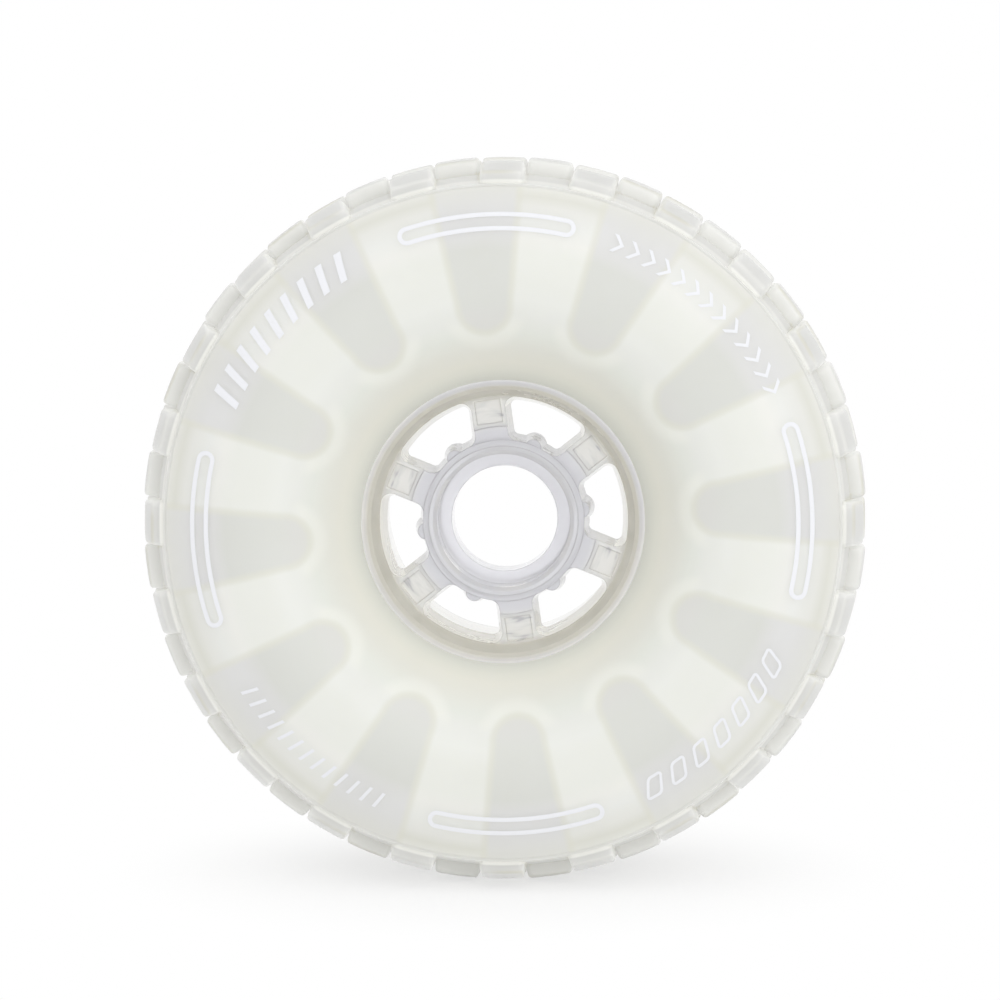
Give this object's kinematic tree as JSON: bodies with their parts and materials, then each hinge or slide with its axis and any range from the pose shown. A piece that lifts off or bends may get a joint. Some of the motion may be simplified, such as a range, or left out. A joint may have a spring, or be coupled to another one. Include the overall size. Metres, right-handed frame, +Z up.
{
  "type": "all-terrain skateboard wheel",
  "caption": "Wide translucent board wheel: a clear spoked core with bearing seats, a cast body with air pockets open at the back, and a tread of staggered blocks.",
  "frame": {"origin": "centre of the wheel: on the bore's axis, midway across its width", "axes": "+Y along the bore from the printed front to the open back, +Z up, +X to the right seen from the front"},
  "size_m": [0.12, 0.056, 0.12],
  "materials": {
    "clear_core": "clear polycarbonate, polished",
    "milky_urethane": "milky translucent urethane, satin",
    "clear_urethane": "clear urethane, satin"
  },
  "bodies": {
    "root": {"hub_core": "clear_core", "tyre_body": "milky_urethane", "tread_band": "clear_urethane"}
  },
  "joints": []
}
